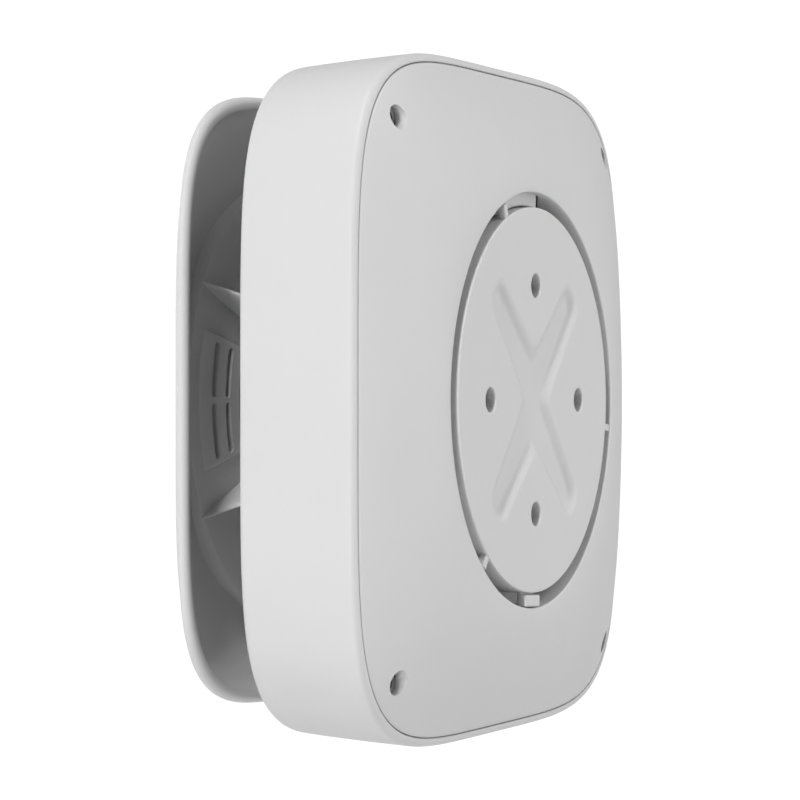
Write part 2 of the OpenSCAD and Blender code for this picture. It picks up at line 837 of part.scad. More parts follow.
module battery_cell_4() {
    battery_cell((cell_l + cell_gap) / 2, -cell_row_y);
}

// Contact plates at the ends of each row, with a bow that presses on the cell
module battery_contacts() {
    x_end = tray_half_w - tray_wall;
    bow = x_end - contact_t - cell_l - cell_gap / 2;
    color(steel) from_wall() {
        for (sx = [-1, 1], sy = [-1, 1])
            translate([sx * (x_end - contact_t / 2), sy * cell_row_y, 0]) {
                block([contact_t, contact_w], contact_top_depth, contact_end_depth);
                translate([0, 0, cell_depth]) rotate([0, -90 * sx, 0]) cylinder(r = bow_r, h = bow);
            }
        for (sy = [-1, 1]) translate([0, sy * cell_row_y, 0])
            block([2 * contact_t, contact_w], contact_top_depth, tray_floor_depth);
    }
}

// Pairs of wires from each tray to the board
module battery_leads() {
    lead_r = 0.7;
    color("firebrick") from_wall() for (sy = [-1, 1], k = [-1, 1]) let (x = -21 + 1.6 * k)
        wire([[x, 32.2 * sy, 16.6], [x, 33.2 * sy, 16.8], [x, 34 * sy, 17.8], [x, 34.2 * sy, 19],
            [x, 34.2 * sy, 23], [x, 34.5 * sy, 24.2], [x, 34.9 * sy, 24.6], [x, 35.5 * sy, 24.6]],
            lead_r, [1, 0, 0]);
}

module sounder_leads() {
    lead_r = 0.5;
    color("black") from_wall() for (k = [-1, 1])
        wire([[28 + 1.2 * k, 26.7, 17], [27.6 + 1.1 * k, 25.4, 17.2], [26 + k, 23.4, 18],
            [21 + 0.8 * k, 18.2 - 0.6 * k, 20.4], [17.4 + 0.7 * k, 14.6 - 0.7 * k, 21]],
            lead_r, [0, 0, 1]);
}

mounting_bracket();
rear_cover();
housing_seal();
cover_screws();
housing_shell();
front_plate();
sound_deflector();
deflector_screws();
plate_screws();
sounder_horn();
horn_grille();
horn_gasket();
sounder_case();
piezo_disc();
piezo_clamp();
sounder_screws();
main_board();
board_screws();
radio_module();
board_chips();
board_capacitors();
board_connectors();
strobe_leds();
light_guides();
radio_antenna();
tamper_plunger();
tamper_spring();
tamper_switch();
power_button();
power_switch();
upper_battery_tray();
lower_battery_tray();
tray_screws();
battery_cell_1();
battery_cell_2();
battery_cell_3();
battery_cell_4();
battery_contacts();
battery_leads();
sounder_leads();
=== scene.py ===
import json
import math

import bmesh
import bpy
import numpy as np
from mathutils import Matrix, Vector


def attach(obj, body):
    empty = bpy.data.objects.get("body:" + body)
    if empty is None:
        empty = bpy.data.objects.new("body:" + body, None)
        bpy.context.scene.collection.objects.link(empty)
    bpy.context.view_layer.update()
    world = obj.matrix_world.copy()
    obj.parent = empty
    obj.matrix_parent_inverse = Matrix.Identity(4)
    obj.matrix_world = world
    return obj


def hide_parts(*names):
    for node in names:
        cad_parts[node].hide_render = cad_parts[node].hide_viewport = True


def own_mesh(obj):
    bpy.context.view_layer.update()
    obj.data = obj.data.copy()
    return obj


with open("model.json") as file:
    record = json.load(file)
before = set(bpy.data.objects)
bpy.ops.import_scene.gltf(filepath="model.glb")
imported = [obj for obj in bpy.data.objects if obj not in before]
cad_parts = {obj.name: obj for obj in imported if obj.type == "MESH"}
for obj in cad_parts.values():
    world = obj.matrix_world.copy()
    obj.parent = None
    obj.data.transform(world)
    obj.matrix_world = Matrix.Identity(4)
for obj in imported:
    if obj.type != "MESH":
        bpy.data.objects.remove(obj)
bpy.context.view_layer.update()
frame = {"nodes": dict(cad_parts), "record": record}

MM = 0.001
# Points round a squared outline, a large circle, and a post or hole
STEPS = 384
STEPS_ROUND = 256
STEPS_SMALL = 48
# Edges that turn more than this many degrees stay sharp
SHARP_DEG = 35

# ---------- Camera ----------

CAMERA_AT = (0.5289, 0.2189, 0)
CAMERA_BACK = (0.9057, 0.4239, 0)
CAMERA_LENS = 135.3


def make_camera():
    """The camera looks at the rear from the side, level with the middle of the object."""
    camera = bpy.data.cameras.new("camera")
    camera.lens = CAMERA_LENS
    camera.sensor_width = 36
    camera.clip_start = 0.05
    camera.clip_end = 20
    holder = bpy.data.objects.new("camera", camera)
    bpy.context.scene.collection.objects.link(holder)
    back = Vector(CAMERA_BACK).normalized()
    right = Vector((-back.y, back.x, 0))
    up = Vector((0, 0, 1))
    turn = Matrix((right, up, back)).transposed().to_4x4()
    holder.matrix_world = Matrix.Translation(CAMERA_AT) @ turn
    bpy.context.scene.camera = holder


make_camera()

# ---------- Materials ----------


class Nodes:
    """Short calls for building one material's node tree."""

    def __init__(self, name):
        self.material = bpy.data.materials.new(name)
        self.material.use_nodes = True
        self.tree = self.material.node_tree
        self.shader = self.tree.nodes["Principled BSDF"]

    def add(self, kind, **values):
        node = self.tree.nodes.new(kind)
        for name, value in values.items():
            if name in node.inputs:
                node.inputs[name].default_value = value
            else:
                setattr(node, name, value)
        return node

    def link(self, source, target):
        self.tree.links.new(source, target)

    def noise(self, scale, detail=2.0, stretch=None):
        place = self.add("ShaderNodeTexCoord").outputs["Object"]
        if stretch:
            mapping = self.add("ShaderNodeMapping")
            mapping.inputs["Scale"].default_value = stretch
            self.link(place, mapping.inputs["Vector"])
            place = mapping.outputs["Vector"]
        node = self.add("ShaderNodeTexNoise", Scale=scale, Detail=detail)
        self.link(place, node.inputs["Vector"])
        return node.outputs["Fac"]

    def ramp(self, factor, stops):
        node = self.add("ShaderNodeValToRGB")
        elements = node.color_ramp.elements
        while len(elements) < len(stops):
            elements.new(0.5)
        for element, (at, colour) in zip(elements, stops):
            element.position = at
            element.color = (*colour, 1)
        self.link(factor, node.inputs["Fac"])
        return node.outputs["Color"]

    def span(self, factor, low, high):
        node = self.add("ShaderNodeMapRange")
        node.inputs["To Min"].default_value = low
        node.inputs["To Max"].default_value = high
        self.link(factor, node.inputs["Value"])
        return node.outputs["Result"]

    def set(self, **values):
        for name, value in values.items():
            self.shader.inputs[name.replace("_", " ")].default_value = value

    def finish(self, colour, rough, bump, distance, strength=0.6):
        self.link(colour, self.shader.inputs["Base Color"])
        self.link(rough, self.shader.inputs["Roughness"])
        node = self.add("ShaderNodeBump", Strength=strength, Distance=distance)
        self.link(bump, node.inputs["Height"])
        self.link(node.outputs["Normal"], self.shader.inputs["Normal"])
        return self.material


def shades(colour, spread):
    return [tuple(max(0, c * (1 + s)) for c in colour) for s in (-spread, 0, spread)]


def plastic(name, colour, rough=(0.5, 0.6), spread=0.02, grain=3200, distance=0.00002):
    """Moulded plastic: a slow drift of tone and a fine eroded texture."""
    n = Nodes(name)
    low, mid, high = shades(colour, spread)
    tone = n.ramp(n.noise(35, 3), [(0.3, low), (0.5, mid), (0.7, high)])
    fine = n.noise(grain, 4)
    n.set(IOR=1.46)
    return n.finish(tone, n.span(n.noise(900, 3), *rough), fine, distance)


def metal(name, colour, rough=(0.25, 0.4), stretch=(1, 12, 1)):
    """Plated or rolled metal: fine lines one way and a slow drift of tone."""
    n = Nodes(name)
    low, mid, high = shades(colour, 0.08)
    tone = n.ramp(n.noise(400, 3), [(0.3, low), (0.5, mid), (0.7, high)])
    lines = n.noise(1500, 3, stretch)
    n.set(Metallic=1.0)
    return n.finish(tone, n.span(lines, *rough), lines, 0.000015)


def rubber(name):
    n = Nodes(name)
    tone = n.ramp(n.noise(300, 3), [(0.3, (0.03,) * 3), (0.7, (0.055,) * 3)])
    n.set(IOR=1.5)
    rough = n.span(n.noise(1200, 3), 0.7, 0.85)
    return n.finish(tone, rough, n.noise(2500, 3), 0.00004)


def laminate(name):
    """Board with faint traces under the mask and small pads of solder."""
    n = Nodes(name)
    place = n.add("ShaderNodeTexCoord").outputs["Object"]
    cells = n.add("ShaderNodeTexVoronoi", distance="MANHATTAN", feature="F1", Scale=260)
    n.link(place, cells.inputs["Vector"])
    tone = n.ramp(cells.outputs["Distance"], [
        (0.10, (0.45, 0.45, 0.42)), (0.13, (0.012, 0.11, 0.045)),
        (0.55, (0.015, 0.15, 0.06)), (0.60, (0.02, 0.21, 0.085))])
    n.set(IOR=1.5)
    return n.finish(tone, n.span(n.noise(500), 0.25, 0.4), cells.outputs["Distance"], 0.00006)


def clear(name):
    n = Nodes(name)
    tone = n.ramp(n.noise(120, 2), [(0.3, (0.90, 0.94, 0.96)), (0.7, (0.97, 0.99, 1.0))])
    n.set(IOR=1.49, Transmission_Weight=1.0)
    return n.finish(tone, n.span(n.noise(600), 0.06, 0.16), n.noise(900, 3), 0.00001)


CELL_BAND = 0.0178


def wrapped(name):
    """Printed shrink wrap of a cell: two plain bands of colour along its length."""
    n = Nodes(name)
    place = n.add("ShaderNodeTexCoord").outputs["Object"]
    split = n.add("ShaderNodeSeparateXYZ")
    n.link(place, split.inputs["Vector"])
    wave = n.add("ShaderNodeMath", operation="PINGPONG")
    wave.inputs[1].default_value = CELL_BAND
    n.link(split.outputs["X"], wave.inputs[0])
    along = n.add("ShaderNodeMapRange")
    along.inputs["From Max"].default_value = CELL_BAND
    n.link(wave.outputs[0], along.inputs["Value"])
    tone = n.ramp(along.outputs["Result"], [
        (0.0, (0.10, 0.24, 0.44)), (0.62, (0.09, 0.21, 0.40)),
        (0.64, (0.55, 0.56, 0.58)), (1.0, (0.62, 0.63, 0.64))])
    n.set(IOR=1.5, Coat_Weight=0.3, Coat_Roughness=0.15)
    return n.finish(tone, n.span(n.noise(300), 0.25, 0.4), n.noise(500, 3), 0.00003)


WHITE = (0.5, 0.5, 0.5)
MATERIALS = {
    "white_plastic": plastic("white_plastic", WHITE, spread=0.012),
    "button_plastic": plastic("button_plastic", (0.44, 0.44, 0.44)),
    "dark_plastic": plastic("dark_plastic", (0.045, 0.045, 0.05), (0.45, 0.6), 0.08),
    "connector_plastic": plastic("connector_plastic", (0.72, 0.70, 0.62), (0.35, 0.5)),
    "chip_black": plastic("chip_black", (0.02, 0.02, 0.022), (0.4, 0.55), 0.15),
    "red_wire": plastic("red_wire", (0.5, 0.03, 0.025), (0.3, 0.4), 0.05),
    "black_wire": plastic("black_wire", (0.02, 0.02, 0.02), (0.3, 0.4), 0.1),
    "screw_steel": metal("screw_steel", (0.42, 0.42, 0.43), (0.35, 0.5)),
    "spring_steel": metal("spring_steel", (0.62, 0.61, 0.6)),
    "shield_metal": metal("shield_metal", (0.68, 0.68, 0.67), (0.3, 0.45), (1, 1, 8)),
    "brass": metal("brass", (0.75, 0.55, 0.25)),
    "seal_rubber": rubber("seal_rubber"),
    "board_laminate": laminate("board_laminate"),
    "clear_plastic": clear("clear_plastic"),
    "cell_wrap": wrapped("cell_wrap"),
}

for entry in frame["record"]["subparts"]:
    node = frame["nodes"][entry["node"]]
    node.data.materials.clear()
    node.data.materials.append(MATERIALS[entry["material_slot"]])

# ---------- Shapes ----------
# Points are (x, y, depth) in millimetres: x to the right and y up as seen from the front, and
# depth from the wall towards the front. A part is a pair of (vertices, faces).

# Squareness of the body's outline, and how far its points gather at the corners
BODY_N = 4.8
GATHER = 0.6


def to_world(points):
    p = np.asarray(points, float).reshape(-1, 3)
    return np.stack([p[:, 0], -p[:, 2], p[:, 1]], 1) * MM


def outline_r(half, angle, squareness):
    total = np.abs(np.cos(angle)) ** squareness + np.abs(np.sin(angle)) ** squareness
    return half / total ** (1 / squareness)


EVEN = np.arange(STEPS) * 2 * math.pi / STEPS


def corner_turn(squareness):
    """How far each even angle turns so that the points gather at the corners."""
    x = np.sign(np.cos(EVEN)) * np.abs(np.cos(EVEN)) ** (2 / squareness)
    y = np.sign(np.sin(EVEN)) * np.abs(np.sin(EVEN)) ** (2 / squareness)
    turn = np.arctan2(y, x) - EVEN
    return turn - 2 * math.pi * np.round(turn / (2 * math.pi))


TURN = corner_turn(BODY_N) * GATHER


def ring(half, depth, squareness=BODY_N, gather=1.0):
    """Squared outline of this half width at this depth."""
    angle = EVEN + gather * TURN
    r = outline_r(half, angle, squareness)
    return np.stack([r * np.cos(angle), r * np.sin(angle), np.full(STEPS, float(depth))], 1)


def circle(r, depth, steps=STEPS_ROUND):
    angle = np.arange(steps) * 2 * math.pi / steps
    return np.stack([r * np.cos(angle), r * np.sin(angle), np.full(steps, float(depth))], 1)


def arc(centre, r, start, end, count):
    """Points of an arc in the (half width, depth) plane, with angles in degrees."""
    turn = np.radians(np.linspace(start, end, count))
    return [(centre[0] + r * math.cos(a), centre[1] + r * math.sin(a)) for a in turn]


def skin(rings, loop=False, caps=False):
    """Vertices and faces of a surface through rings of points."""
    steps, count = len(rings[0]), len(rings)
    faces = []
    for k in range(count if loop else count - 1):
        a, b = k * steps, (k + 1) % count * steps
        for i in range(steps):
            j = (i + 1) % steps
            faces.append((a + i, b + i, b + j, a + j))
    if caps:
        last = (count - 1) * steps
        faces.append(tuple(range(steps)))
        faces.append(tuple(last + i for i in range(steps - 1, -1, -1)))
    return np.concatenate(rings), faces


def joined(*parts):
    """Several (vertices, faces) pairs as one."""
    points, faces, base = [], [], 0
    for p, f in parts:
        points.append(np.asarray(p, float).reshape(-1, 3))
        faces += [tuple(base + i for i in face) for face in f]
        base += len(points[-1])
    return np.concatenate(points), faces


def moved(part, x=0.0, y=0.0, turn=0.0):
    """The part turned by an angle in degrees round the depth axis, after a move by (x, y)."""
    p = np.asarray(part[0], float).copy()
    p[:, 0] += x
    p[:, 1] += y
    c, s = math.cos(math.radians(turn)), math.sin(math.radians(turn))
    p[:, 0], p[:, 1] = p[:, 0] * c - p[:, 1] * s, p[:, 0] * s + p[:, 1] * c
    return p, part[1]


def lathe(profile, steps=STEPS_SMALL):
    """Solid of revolution of a profile of (radius, depth) points, with flat ends."""
    return skin([circle(max(r, 0.001), z, steps) for r, z in profile], caps=True)


def soft_profile(r_in, r_out, z0, z1, e):
    """Section of a ring, with its corners cut by e."""
    return [(r_in, z0 + e), (r_in + e, z0), (r_out - e, z0), (r_out, z0 + e),
            (r_out, z1 - e), (r_out - e, z1), (r_in + e, z1), (r_in, z1 - e)]


def tube_part(r_out, r_in, z0, z1, edge, steps=STEPS_ROUND):
    """Ring with softened edges."""
    profile = soft_profile(r_in, r_out, z0, z1, edge)
    return skin([circle(r, z, steps) for r, z in profile], loop=True)


def post_part(r_out, r_in, z0, z1):
    """Hollow post for a screw."""
    return tube_part(r_out, r_in, z0, z1, 0.1, STEPS_SMALL)


def sector_part(start, span, r_in, r_out, z0, z1, edge=0.2, steps=24):
    """Part of a ring with softened edges, from the start angle over the span, in degrees."""
    profile = soft_profile(r_in, r_out, z0, z1, edge)
    mid_r, mid_z = (r_in + r_out) / 2, (z0 + z1) / 2
    soft = math.degrees(edge / r_out)
    along = np.linspace(start + soft, start + span - soft, steps)
    rows = []
    for at, inset in [(start, edge), *[(a, 0) for a in along], (start + span, edge)]:
        a = math.radians(at)
        row = []
        for r, z in profile:
            r2 = r + (inset if r < mid_r else -inset)
            z2 = z + (inset if z < mid_z else -inset)
            row.append((r2 * math.cos(a), r2 * math.sin(a), z2))
        rows.append(np.array(row))
    return skin(rows, caps=True)


def block_part(x0, x1, y0, y1, z0, z1, edge=0.2):
    """Box with softened edges."""
    rows = []
    for x, e in ((x0, edge), (x0 + edge, 0), (x1 - edge, 0), (x1, edge)):
        loop = [(y0 + e, z0 + edge), (y0 + edge, z0 + e), (y1 - edge, z0 + e), (y1 - e, z0 + edge),
                (y1 - e, z1 - edge), (y1 - edge, z1 - e), (y0 + edge, z1 - e), (y0 + e, z1 - edge)]
        rows.append(np.array([(x, y, z) for y, z in loop]))
    return skin(rows, caps=True)


def new_object(name, part):
    points, faces = part
    mesh = bpy.data.meshes.new(name)
    mesh.from_pydata([tuple(p) for p in to_world(points)], [], faces)
    mesh.update()
    thing = bpy.data.objects.new(name, mesh)
    bpy.context.scene.collection.objects.link(thing)
    bpy.context.view_layer.objects.active = thing
    face_outwards(mesh)
    smooth(mesh)
    return thing


def face_outwards(mesh):
    work = bmesh.new()
    work.from_mesh(mesh)
    bmesh.ops.recalc_face_normals(work, faces=work.faces)
    work.to_mesh(mesh)
    work.free()


def smooth(mesh):
    mesh.polygons.foreach_set("use_smooth", [True] * len(mesh.polygons))
    mesh.set_sharp_from_angle(angle=math.radians(SHARP_DEG))
    mesh.update()


def cut(thing, tools):
    """Cuts the tools, each a part, out of the object."""
    cutter = new_object(thing.name + "_cutter", joined(*tools))
    modifier = thing.modifiers.new("cut", "BOOLEAN")
    modifier.operation = "DIFFERENCE"
    modifier.solver = "EXACT"
    modifier.object = cutter
    graph = bpy.context.evaluated_depsgraph_get()
    result = bpy.data.meshes.new_from_object(thing.evaluated_get(graph))
    thing.modifiers.clear()
    thing.data = result
    bpy.data.objects.remove(cutter)
    smooth(result)


def finish_piece(thing, nodes, body="housing", slot="white_plastic"):
    thing.data.materials.clear()
    thing.data.materials.append(MATERIALS[slot])
    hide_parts(*nodes)
    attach(thing, body)


def drill(x, y, r, z0, z1):
    """Cutter for a round hole."""
    return moved(lathe([(r, z0), (r, z1)]), x, y)


def corners(x, y):
    return [(sx * x, sy * y) for sx in (-1, 1) for sy in (-1, 1)]


# ---------- Rear cover ----------

RECESS_R = 39.5
RIM = 0.1
SEAM = 7.6
COVER_HALF = 61.85
# Depths of the recess floor's two faces
CUP_FLOOR = 6.9
CUP_BACK = 9.1
SCREW_XY = 49.8
# Screw holes: a tight pilot and a clear way
PILOT_R = 1.35
CLEAR_R = 1.4
# Start angle of each bayonet ledge
LEDGES = [68.3 + 120 * k for k in range(3)]


def dome_ring(s, drop=0.0):
    """Ring on the dome: s runs from 0 at the recess rim to 1 at the seam."""
    angle = EVEN + s * TURN
    r = RECESS_R + s * (outline_r(COVER_HALF, angle, BODY_N) - RECESS_R)
    depth = np.full(STEPS, RIM + (SEAM - RIM) * s * s + drop)
    return np.stack([r * np.cos(angle), r * np.sin(angle), depth], 1)


def round_ring(r, depth):
    return np.stack([r * np.cos(EVEN), r * np.sin(EVEN), np.full(STEPS, float(depth))], 1)


def make_rear_cover():
    floor = [round_ring(r, CUP_FLOOR) for r in (2, 12, 24, 34, 38.6)]
    wall = [round_ring(r, z) for r, z in [
        (39.2, 6.8), (RECESS_R, 6.5), (RECESS_R, 0.4), (39.53, 0.25), (39.62, 0.14)]]
    dome = [dome_ring(s) for s in np.concatenate([[0.01], np.linspace(0.04, 0.985, 34)])]
    edge = [ring(COVER_HALF - 0.12, SEAM), ring(COVER_HALF - 0.03, SEAM + 0.1),
            ring(COVER_HALF, SEAM + 0.3), ring(COVER_HALF, 10.0), ring(COVER_HALF - 2, 10.1)]
    inner = [dome_ring(s, 2.3) for s in np.linspace(0.92, 0.14, 12)]
    back = [round_ring(r, z) for r, z in [
        (42.0, 4.0), (41.9, 8.9), (41.6, CUP_BACK), (30, CUP_BACK), (14, CUP_BACK), (2, CUP_BACK)]]
    rings = [*floor, *wall, *dome, *edge, *inner, *back]
    thing = new_object("rear_cover_body", skin(rings, caps=True))
    holes = [drill(0, -10, 2.3, 6, 10), drill(-14, 12, 4.3, 6, 10)]
    well = lathe([(2.25, -1), (2.25, 9.0), (CLEAR_R, 9.0), (CLEAR_R, 13)], 64)
    holes += [moved(well, x, y) for x, y in corners(SCREW_XY, SCREW_XY)]
    boss = post_part(3, CLEAR_R, 8.9, 12)
    bosses = [moved(boss, x, y) for x, y in corners(SCREW_XY, SCREW_XY)]
    cut(thing, holes)
    extras = [sector_part(a, 30, 36.9, 39.7, 2.0, 3.8) for a in LEDGES]
    extras += [sector_part(a + 28.2, 1.8, 36.9, 39.7, 2.0, 7.2, steps=6) for a in LEDGES]
    add_part(thing, joined(*extras, *bosses))
    finish_piece(thing, ["rear_cover"])


def absorb(thing, extra):
    """Moves another object's mesh into this one."""
    work = bmesh.new()
    work.from_mesh(thing.data)
    work.from_mesh(extra.data)
    work.to_mesh(thing.data)
    work.free()
    bpy.data.objects.remove(extra)
    smooth(thing.data)


def add_part(thing, part):
    """Adds more solids to an object's mesh."""
    absorb(thing, new_object(thing.name + "_extra", part))


make_rear_cover()

# ---------- Housing shell ----------

# Depths of the deck's two faces, and the end of the screw posts inside it
DECK = 31.1
DECK_INNER = 28.9
POST_END = 29.0


def make_shell():
    profile = [(61.87, 10.9), (61.87, 8.25), (62.03, 8.2), (62.03, 7.85), (62.06, 7.72),
               (62.14, 7.63), (62.3, SEAM)]
    profile += arc((62.2, 8.9), 1.3, -82, 0, 10)
    profile += [(63.45, 10.0), (63.2, 15.0), (62.9, 20.0), (62.5, 26.0)]
    profile += arc((60.8, DECK - 1.4), 1.4, 2, 90, 9)
    rings = [ring(half, depth) for half, depth in profile]
    for half, squareness in ((54, 4.2), (44, 3.4), (34, 2.7), (26, 2.2)):
        rings.append(ring(half, DECK, squareness, 0.4))
    rings += [round_ring(r, z) for r, z in [
        (20.8, DECK), (20.6, DECK - 0.2), (20.6, 29.1), (20.8, DECK_INNER)]]
    for half, squareness in ((30, 2.5), (44, 3.4), (54, 4.2)):
        rings.append(ring(half, DECK_INNER, squareness, 0.4))
    rings += [ring(half, z) for half, z in [(59.9, DECK_INNER), (60.4, 28.4), (60.4, 10.9)]]
    thing = new_object("housing_body", skin(rings, loop=True))
    holes = [drill(x, y, 2.6, 28, 33) for x, y in corners(48, 10)]
    holes += [moved(drill(25.5, 0, CLEAR_R, 28, 33), turn=60 + 120 * k) for k in range(3)]
    cut(thing, holes)
    cover_post = post_part(3.5, PILOT_R, 12.2, POST_END)
    board_post = post_part(3.2, PILOT_R, 14.6, POST_END)
    horn_post = post_part(3.2, PILOT_R, 26.8, POST_END)
    posts = [moved(cover_post, x, y) for x, y in corners(SCREW_XY, SCREW_XY)]
    posts += [moved(board_post, x, y) for x, y in corners(46, 28)]
    posts += [moved(horn_post, 31, 0, 120 * k) for k in range(3)]
    add_part(thing, joined(*posts))
    finish_piece(thing, ["housing_shell"])


make_shell()

# ---------- Front plate ----------

PLATE_HALF = 57.2
LIP = 44.4
PLATE_N = 5.1
PLATE_FRONT = 57.0
PLATE_FALL = 11.3
PLATE_BEND = 1.9
PLATE_T = 1.8
PLATE_FLAT = 28.0
PLATE_SCREW_R = 24


def plate_depth(half):
    """Depth of the plate's outer surface where its outline has this half width."""
    t = max(0.0, (half - PLATE_FLAT) / (PLATE_HALF - PLATE_FLAT))
    return PLATE_FRONT - PLATE_FALL * t ** PLATE_BEND


def make_front_plate():
    outer = [(h, plate_depth(h)) for h in [
        3, 14, *np.linspace(24, 53.6, 31), 54.4, 55.1, 55.7, 56.2, 56.6]]
    lip = [(PLATE_HALF - 0.25, LIP + 1.75), (PLATE_HALF - 0.07, LIP + 1.5),
           *arc((PLATE_HALF - 1.25, LIP + 1.25), 1.25, 0, -90, 9),
           (PLATE_HALF - 1.7, LIP + 0.03), (PLATE_HALF - 2.05, LIP + 0.15),
           (PLATE_HALF - 2.3, LIP + 0.4), (PLATE_HALF - 2.45, LIP + 0.75)]
    inner = [(h, plate_depth(h) - PLATE_T) for h in [*np.linspace(53.0, 24, 26), 14, 3]]
    rings = [ring(h, z, PLATE_N) for h, z in [*outer, *lip, *inner]]
    thing = new_object("front_plate_body", skin(rings, caps=True))
    boss = post_part(3.4, PILOT_R, 50.4, 55.3)
    add_part(thing, joined(*[moved(boss, PLATE_SCREW_R, 0, 120 * k) for k in range(3)]))
    finish_piece(thing, ["front_plate"])


make_front_plate()

# ---------- Deflector ----------

CONE_EDGE = 43.8
CONE_FALL = 0.2
CONE_TOP = 51.2 - CONE_FALL * CONE_EDGE
# Inner end and foot of each fin
FIN_IN = 20.6
FIN_FOOT = 32.4
# Circles of the pad slots, half the width of a slot, and depths that cut right through
SLOT_RADII = (33.2, 37.1)
SLOT_HALF = 0.75
THROUGH = (40, 60)


def cone(r):
    return CONE_TOP + CONE_FALL * r


def plate_inner_at(r, angle):
    """Depth of the plate's inner surface at a radius and an angle."""
    half = PLATE_HALF * r / float(outline_r(PLATE_HALF, np.array([angle]), PLATE_N)[0])
    return plate_depth(half) - PLATE_T


def fin_part():
    """Fin standing on the cone in the plane y = 0, with a rounded slanted outer edge."""
    half = [(0.6, 5.0), (0.58, 2.6), (0.5, 1.3), (0.36, 0.5), (0.18, 0.12)]
    rows = []
    for y, inset in [(-y, i) for y, i in half] + [(0, 0)] + half[::-1]:
        foot, tip = 28.3 - inset * 0.5, 44.2 - inset
        edge = cone(min(tip, 43.6))
        rows.append(np.array([(FIN_IN, y, FIN_FOOT), (foot, y, FIN_FOOT), (tip, y, edge),
                              (tip, y, edge + 0.15), (FIN_IN, y, cone(FIN_IN) + 0.15)]))
    return skin(rows, caps=True)


def slot_part(r, start, span):
    """Cutter for a curved slot with round ends."""
    a0, a1 = math.radians(start), math.radians(start + span)

    def side(radius, first, last):
        return [(radius * math.cos(a), radius * math.sin(a)) for a in np.linspace(first, last, 20)]

    def round_end(at, first, last):
        turns = [at + turn for turn in np.linspace(first, last, 7)[1:-1]]
        return [(r * math.cos(at) + SLOT_HALF * math.cos(a),
                 r * math.sin(at) + SLOT_HALF * math.sin(a)) for a in turns]

    loop = [*side(r + SLOT_HALF, a0, a1), *round_end(a1, 0, math.pi),
            *side(r - SLOT_HALF, a1, a0), *round_end(a0, math.pi, 2 * math.pi)]
    return skin([np.array([(x, y, z) for x, y in loop]) for z in THROUGH], caps=True)


def make_deflector():
    top = [(0.5, cone(6)), (5, cone(6)), (7, cone(7)), *[(r, cone(r)) for r in range(10, 43, 4)],
           (43.3, cone(43.3)), (43.7, cone(43.7) + 0.05), (CONE_EDGE, cone(CONE_EDGE) + 0.2)]
    under = [(42.6, 51.5), (34, 51.45), (24, cone(24) + 2), (6, cone(6) + 2), (0.5, cone(6) + 2)]
    rings = [circle(r, z) for r, z in top]
    angles = np.arange(STEPS_ROUND) * 2 * math.pi / STEPS_ROUND
    for r in (CONE_EDGE, CONE_EDGE - 1):
        skirt = circle(r, 0)
        skirt[:, 2] = [max(plate_inner_at(CONE_EDGE, a) - 0.02, 51.5) for a in angles]
        rings.append(skirt)
    rings += [circle(r, z) for r, z in under]
    slots = []
    for side in (0, 180):
        for r in SLOT_RADII:
            slots += [slot_part(r, side + 2.0, 14), slot_part(r, side - 16, 14)]
    holes = [moved(drill(PLATE_SCREW_R, 0, CLEAR_R, *THROUGH), turn=120 * k) for k in range(3)]
    thing = new_object("deflector_body", skin(rings, caps=True))
    cut(thing, [*slots, *holes])
    for k in range(2):
        pad = new_object("deflector_pad", pad_part(180 * k))
        cut(pad, slots[4 * k:4 * k + 4])
        absorb(thing, pad)
    fins = [moved(fin_part(), turn=30 + 60 * k) for k in range(6)]
    foot = tube_part(28.5, 22.5, 31.2, 32.9, 0.2)
    boss = post_part(2.7, PILOT_R, 31.2, 38)
    bosses = [moved(boss, 25.5, 0, 60 + 120 * k) for k in range(3)]
    add_part(thing, joined(*fins, foot, *bosses))
    finish_piece(thing, ["sound_deflector"])


def pad_part(turn):
    """Thin raised pad on the cone, centred on this angle."""
    rows = []
    for at, drop in [(-19, 0.1), *[(a, 0.5) for a in np.linspace(-18.4, 18.4, 24)], (19, 0.1)]:
        a = math.radians(at + turn)
        profile = [(29.6, -0.1), (30.1, -drop), (40.5, -drop), (41.0, -0.1), (41.0, 0.3),
                   (29.6, 0.3)]
        rows.append(np.array([(r * math.cos(a), r * math.sin(a), cone(r) + z)
                              for r, z in profile]))
    return skin(rows, caps=True)


make_deflector()

# ---------- Tamper spring ----------

SPRING_TURNS = 4
SPRING_STEPS = 32


def make_spring():
    """Coil spring under the tamper plunger, made as one fixed coil."""
    coil_r, wire_r, low, high = 3.1, 0.25, 10.5, 12.7
    count = SPRING_TURNS * SPRING_STEPS
    around = np.arange(12) * 2 * math.pi / 12
    rows = []
    for i in range(count + 1):
        turn = 2 * math.pi * i / SPRING_STEPS
        r = coil_r + wire_r * np.cos(around)
        depth = low + (high - low) * i / count + wire_r * np.sin(around)
        rows.append(np.stack([r * math.cos(turn), r * math.sin(turn) - 10, depth], 1))
    thing = new_object("tamper_spring_coil", skin(rows, caps=True))
    finish_piece(thing, ["tamper_spring"], slot="spring_steel")
    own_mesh(thing)


make_spring()

# ---------- Wall bracket ----------

# Radius and thickness of the disc, and its wall screw holes
BRACKET_R = 36.6
BRACKET_T = 2.0
WALL_HOLE_R = 2.3
WALL_HOLE_RING = 21.7
TONGUE_ANGLE = 272.5
# X-shaped hollow: the round end of each arm, the hollow's depth and the run of its sloped walls
CROSS_END = np.array([16.6, 18.2])
CROSS_END_R = 3.0
CROSS_DEPTH = 1.1
CROSS_SLOPE = 2.9
CROSS_FOLD = 1.4


